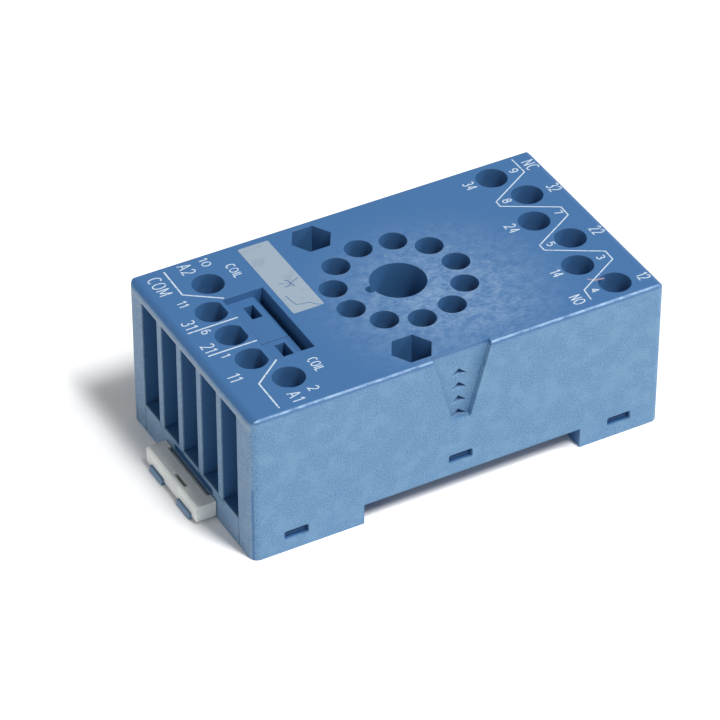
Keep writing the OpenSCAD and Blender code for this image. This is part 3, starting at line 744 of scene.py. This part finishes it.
@dataclass
class Lettering:
    """The numbers and words printed on the top face, beside the terminals and pins they name."""

    weight: float = 0.19
    clip_end: tuple[Mark, ...] = (
        Mark("COM", 2.0, 17.2, 2.2, 4.45), Mark("A2", 7.25, 18.1, 2.2, 2.5),
        Mark("10", 10.7, 18.1, 1.5, 2.0), Mark("COIL", 13.5, 15.0, 1.5, 3.4),
        Mark("11", 3.3, 10.35, 1.65, 1.3), Mark("31", 1.7, 5.8, 2.1, 1.8),
        Mark("6", 3.35, 2.8, 1.5, 0.9), Mark("21", 1.7, -0.3, 2.1, 1.75),
        Mark("1", 3.2, -3.55, 1.6, 0.5), Mark("11", 1.75, -8.1, 2.15, 1.5),
        Mark("2", 10.5, -15.7, 1.7, 0.9), Mark("A1", 7.3, -15.5, 2.1, 2.1),
        Mark("COIL", 13.4, -10.0, 1.6, 3.1),
    )
    far_end: tuple[Mark, ...] = (
        Mark("34", 53.4, 16.1, 1.9, 1.85), Mark("9", 61.25, 15.9, 1.5, 0.9),
        Mark("NC", 63.85, 16.7, 2.15, 2.3), Mark("8", 56.5, 9.75, 1.5, 0.9),
        Mark("32", 64.0, 9.8, 2.1, 1.8), Mark("24", 53.5, 4.0, 1.85, 2.0),
        Mark("7", 61.65, 3.6, 1.4, 0.85), Mark("5", 56.7, -2.55, 1.4, 0.9),
        Mark("22", 64.0, -2.4, 2.0, 1.8), Mark("14", 53.5, -8.8, 1.9, 1.5),
        Mark("3", 61.35, -8.8, 1.4, 0.85), Mark("12", 64.0, -15.3, 2.0, 1.5),
        Mark("NO", 52.85, -15.3, 1.95, 2.1), Mark("4", 56.5, -15.15, 1.4, 0.9),
    )

    def build(self, ink: bpy.types.Material) -> list[bpy.types.Object]:
        """Print both ends' marks.

        Args:
            ink: The print's material.

        Returns:
            One piece for each end.
        """
        pieces = []
        for name, marks in (("print_clip_end", self.clip_end), ("print_far_end", self.far_end)):
            paths = [path for mark in marks for path in mark.strokes(self.weight)]
            pieces.append(Ribbon(name, self.weight, paths).build(ink))
        return pieces


@dataclass
class WiringDiagram:
    """The printed lines that join each terminal with the contact that it leads to."""

    clip_width: float = 0.24
    far_width: float = 0.2
    clip_paths: tuple[Path, ...] = (
        ((5.2, 17.8), (5.1, 11.7), (9.95, 8.15)),
        ((1.65, 3.2), (9.6, 3.25)),
        ((1.8, -2.8), (9.5, -2.8)),
        ((9.85, -8.0), (5.15, -11.7), (5.1, -17.8)),
    )
    far_paths: tuple[Path, ...] = (
        ((63.2, 18.05), (63.25, 14.4), (55.75, 9.85), (55.65, 8.6), (63.4, 4.15), (63.3, 1.95),
         (55.8, -2.5), (55.8, -3.85), (63.4, -8.3), (63.3, -10.45), (55.85, -14.85), (55.55, -17.3)),
    )

    def build(self, ink: bpy.types.Material) -> list[bpy.types.Object]:
        """Print the lines at both ends.

        Args:
            ink: The print's material.

        Returns:
            One piece for each end.
        """
        return [
            Ribbon("lines_clip_end", self.clip_width, self.clip_paths).build(ink),
            Ribbon("lines_far_end", self.far_width, self.far_paths).build(ink),
        ]


@dataclass
class WritingPanel:
    """The pale printed panel for a handwritten name, with the scratches of handling in it."""

    start: float = 16.9
    end: float = 21.85
    low: float = 0.15
    high: float = 17.5
    corner: float = 0.3
    scratch_width: float = 0.12
    scratch_rise: float = 0.004
    scratches: tuple[Path, ...] = (
        ((18.75, 6.2), (19.5, 6.35), (19.9, 6.75), (20.65, 7.1), (21.5, 7.5)),
        ((19.35, 7.8), (19.85, 7.55), (19.9, 6.75), (20.1, 5.8)),
        ((18.35, 7.3), (19.0, 7.15)),
        ((17.85, 4.45), (18.0, 3.0), (18.25, 1.9), (19.1, 1.6), (20.1, 1.5), (20.65, 0.85),
         (21.4, 0.2)),
        ((18.85, 13.2), (18.95, 13.0)),
    )

    def build(self, paint: bpy.types.Material, bare: bpy.types.Material) -> list[bpy.types.Object]:
        """Print the panel and scratch it.

        Args:
            paint: The panel's material.
            bare: The material that shows in the scratches.

        Returns:
            The panel and its scratches.
        """
        bm = bmesh.new()
        bmesh.ops.create_grid(bm, x_segments=1, y_segments=1, size=0.5)
        bmesh.ops.scale(bm, vec=(self.end - self.start, self.high - self.low, 1), verts=bm.verts)
        bmesh.ops.bevel(bm, geom=bm.verts[:], offset=self.corner, offset_type="OFFSET", segments=4,
                        profile=0.5, affect="VERTICES", material=-1)
        raised = bmesh.ops.extrude_face_region(bm, geom=bm.faces[:])["geom"]
        top = [g for g in raised if isinstance(g, bmesh.types.BMVert)]
        bmesh.ops.translate(bm, vec=(0, 0, PRINT_HEIGHT), verts=top)
        from_end, across = (self.start + self.end) / 2, (self.low + self.high) / 2
        middle = (BODY.clip_end_x + from_end, across, BODY.height)
        bmesh.ops.translate(bm, vec=middle, verts=bm.verts)
        bmesh.ops.recalc_face_normals(bm, faces=bm.faces)
        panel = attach(new_piece("writing_panel", bm, paint), "body")
        rise = PRINT_HEIGHT + self.scratch_rise
        marks = Ribbon("panel_scratches", self.scratch_width, self.scratches, rise)
        return [panel, marks.build(bare)]


@dataclass
class RubMark:
    """A rub of orange-brown metal dust beside a corner terminal, where a screwdriver slipped."""

    width: float = 0.3
    height: float = 0.008
    path: Path = ((57.55, -12.8), (58.5, -13.6), (59.85, -13.8))

    def build(self, dust: bpy.types.Material) -> bpy.types.Object:
        """Rub the mark on.

        Args:
            dust: Its material.

        Returns:
            The piece.
        """
        return Ribbon("rub_mark", self.width, (self.path,), self.height).build(dust)


@dataclass(frozen=True)
class Dressing:
    """The CAD nodes of the socket, each dressed in the finish of its record slot."""

    blue: MouldedPolyamide = MouldedPolyamide()
    base_blue: MouldedPolyamide = MouldedPolyamide("blue_polyamide_base", has_top=False)
    white: NaturalPolyamide = NaturalPolyamide()
    brass: RolledBrass = RolledBrass()
    zinc: ZincPlatedSteel = ZincPlatedSteel()
    bright_zinc: ZincPlatedSteel = ZincPlatedSteel("zinc_plated_screw", "#D0D2D2", roughness=0.24)

    def dress(self, nodes: dict[str, bpy.types.Object]) -> bpy.types.Material:
        """Give each CAD node its material.

        Args:
            nodes: The CAD nodes by name.

        Returns:
            The housing's material, which shows wherever the print is broken.
        """
        kinds = (self.blue, self.brass, self.zinc, self.bright_zinc)
        blue, brass, zinc, bright = (kind.build() for kind in kinds)
        finishes = {"housing": blue, "contact_carrier": blue, "base_plate": self.base_blue.build(),
                    "rail_clip": self.white.build()}
        for name in TERMINALS:
            finishes |= {f"contact_{name}": brass, f"cage_{name}": zinc, f"screw_{name}": bright}
        for name, finish in finishes.items():
            for slot in nodes[name].material_slots:
                slot.material = finish
            LOG.info("%s: %s", name, finish.name)
        return blue


@dataclass(frozen=True)
class SoftBox:
    """A studio light that faces the object, in metres, degrees and watts."""

    name: str
    bearing: float
    elevation: float
    distance: float
    width: float
    height: float
    power: float

    def build(self, aim: Vector) -> bpy.types.Object:
        """Hang the light.

        Args:
            aim: What it faces, in metres.

        Returns:
            The light.
        """
        lamp = bpy.data.lights.new(self.name, "AREA")
        lamp.shape = "RECTANGLE"
        lamp.size, lamp.size_y = self.width, self.height
        lamp.energy = self.power
        box = bpy.data.objects.new(self.name, lamp)
        bearing, rise = math.radians(self.bearing), math.radians(self.elevation)
        flat = math.cos(rise)
        away = Vector((math.cos(bearing) * flat, math.sin(bearing) * flat, math.sin(rise)))
        box.location = aim + away * self.distance
        box.rotation_euler = away.to_track_quat("Z", "Y").to_euler()
        bpy.context.scene.collection.objects.link(box)
        return box


@dataclass
class Studio:
    """A white table in a light tent, seen from over the near long side and the clip's end.

    The camera's places and lens are in millimetres, the table's side and the nearest view in metres.
    """

    camera_place: tuple[float, float, float] = (-230.0, -411.3, 377.4)
    camera_aim: tuple[float, float, float] = (-3.9, 0.4, 12.5)
    lens: float = 205.9
    sensor: float = 36.0
    nearest: float = 0.01
    table: float = 4.0
    table_tone: str = "#F7F7F7"
    table_roughness: float = 0.9
    sky: float = 0.31
    lights: tuple[SoftBox, ...] = (
        SoftBox("key", -72.0, 61.0, 1.4, 0.2, 0.5, 18.3),
        SoftBox("side_light", -20.0, 40.0, 1.4, 0.3, 0.3, 9.5),
        SoftBox("end_fill", -160.0, 12.0, 1.6, 1.2, 1.2, 6.5),
    )

    def build(self) -> None:
        """Set up the table, the light and the camera."""
        scene = bpy.context.scene
        scene.view_settings.view_transform = "Standard"
        world = bpy.data.worlds.new("light_tent")
        world.use_nodes = True
        tent = world.node_tree.nodes["Background"].inputs
        tent["Color"].default_value = to_linear("#FFFFFF")
        tent["Strength"].default_value = self.sky
        scene.world = world
        bm = bmesh.new()
        bmesh.ops.create_grid(bm, x_segments=1, y_segments=1, size=self.table / 2 / MM)
        matt = Pattern("matt_white_table").finish(
            Base_Color=to_linear(self.table_tone), Roughness=self.table_roughness)
        new_piece("table", bm, matt)
        aim = Vector(self.camera_aim) * MM
        for light in self.lights:
            light.build(aim)
        data = bpy.data.cameras.new("camera")
        data.lens = self.lens
        data.sensor_width = self.sensor
        data.clip_start = self.nearest
        camera = bpy.data.objects.new("camera", data)
        camera.location = Vector(self.camera_place) * MM
        camera.rotation_euler = (camera.location - aim).to_track_quat("Z", "Y").to_euler()
        scene.collection.objects.link(camera)
        scene.camera = camera


def main() -> None:
    """Build the looks of the socket round its CAD model."""
    logging.basicConfig(level=logging.INFO, format="%(name)s: %(message)s")
    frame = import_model()
    bare = Dressing().dress(frame["nodes"])
    ink = PadPrintInk().build()
    for piece in Lettering().build(ink) + WiringDiagram().build(ink):
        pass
    for piece in WritingPanel().build(PANEL_PAINT.build(), bare):
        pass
    RubMark().build(METAL_DUST.build())
    Studio().build()


if __name__ == "__main__":
    main()
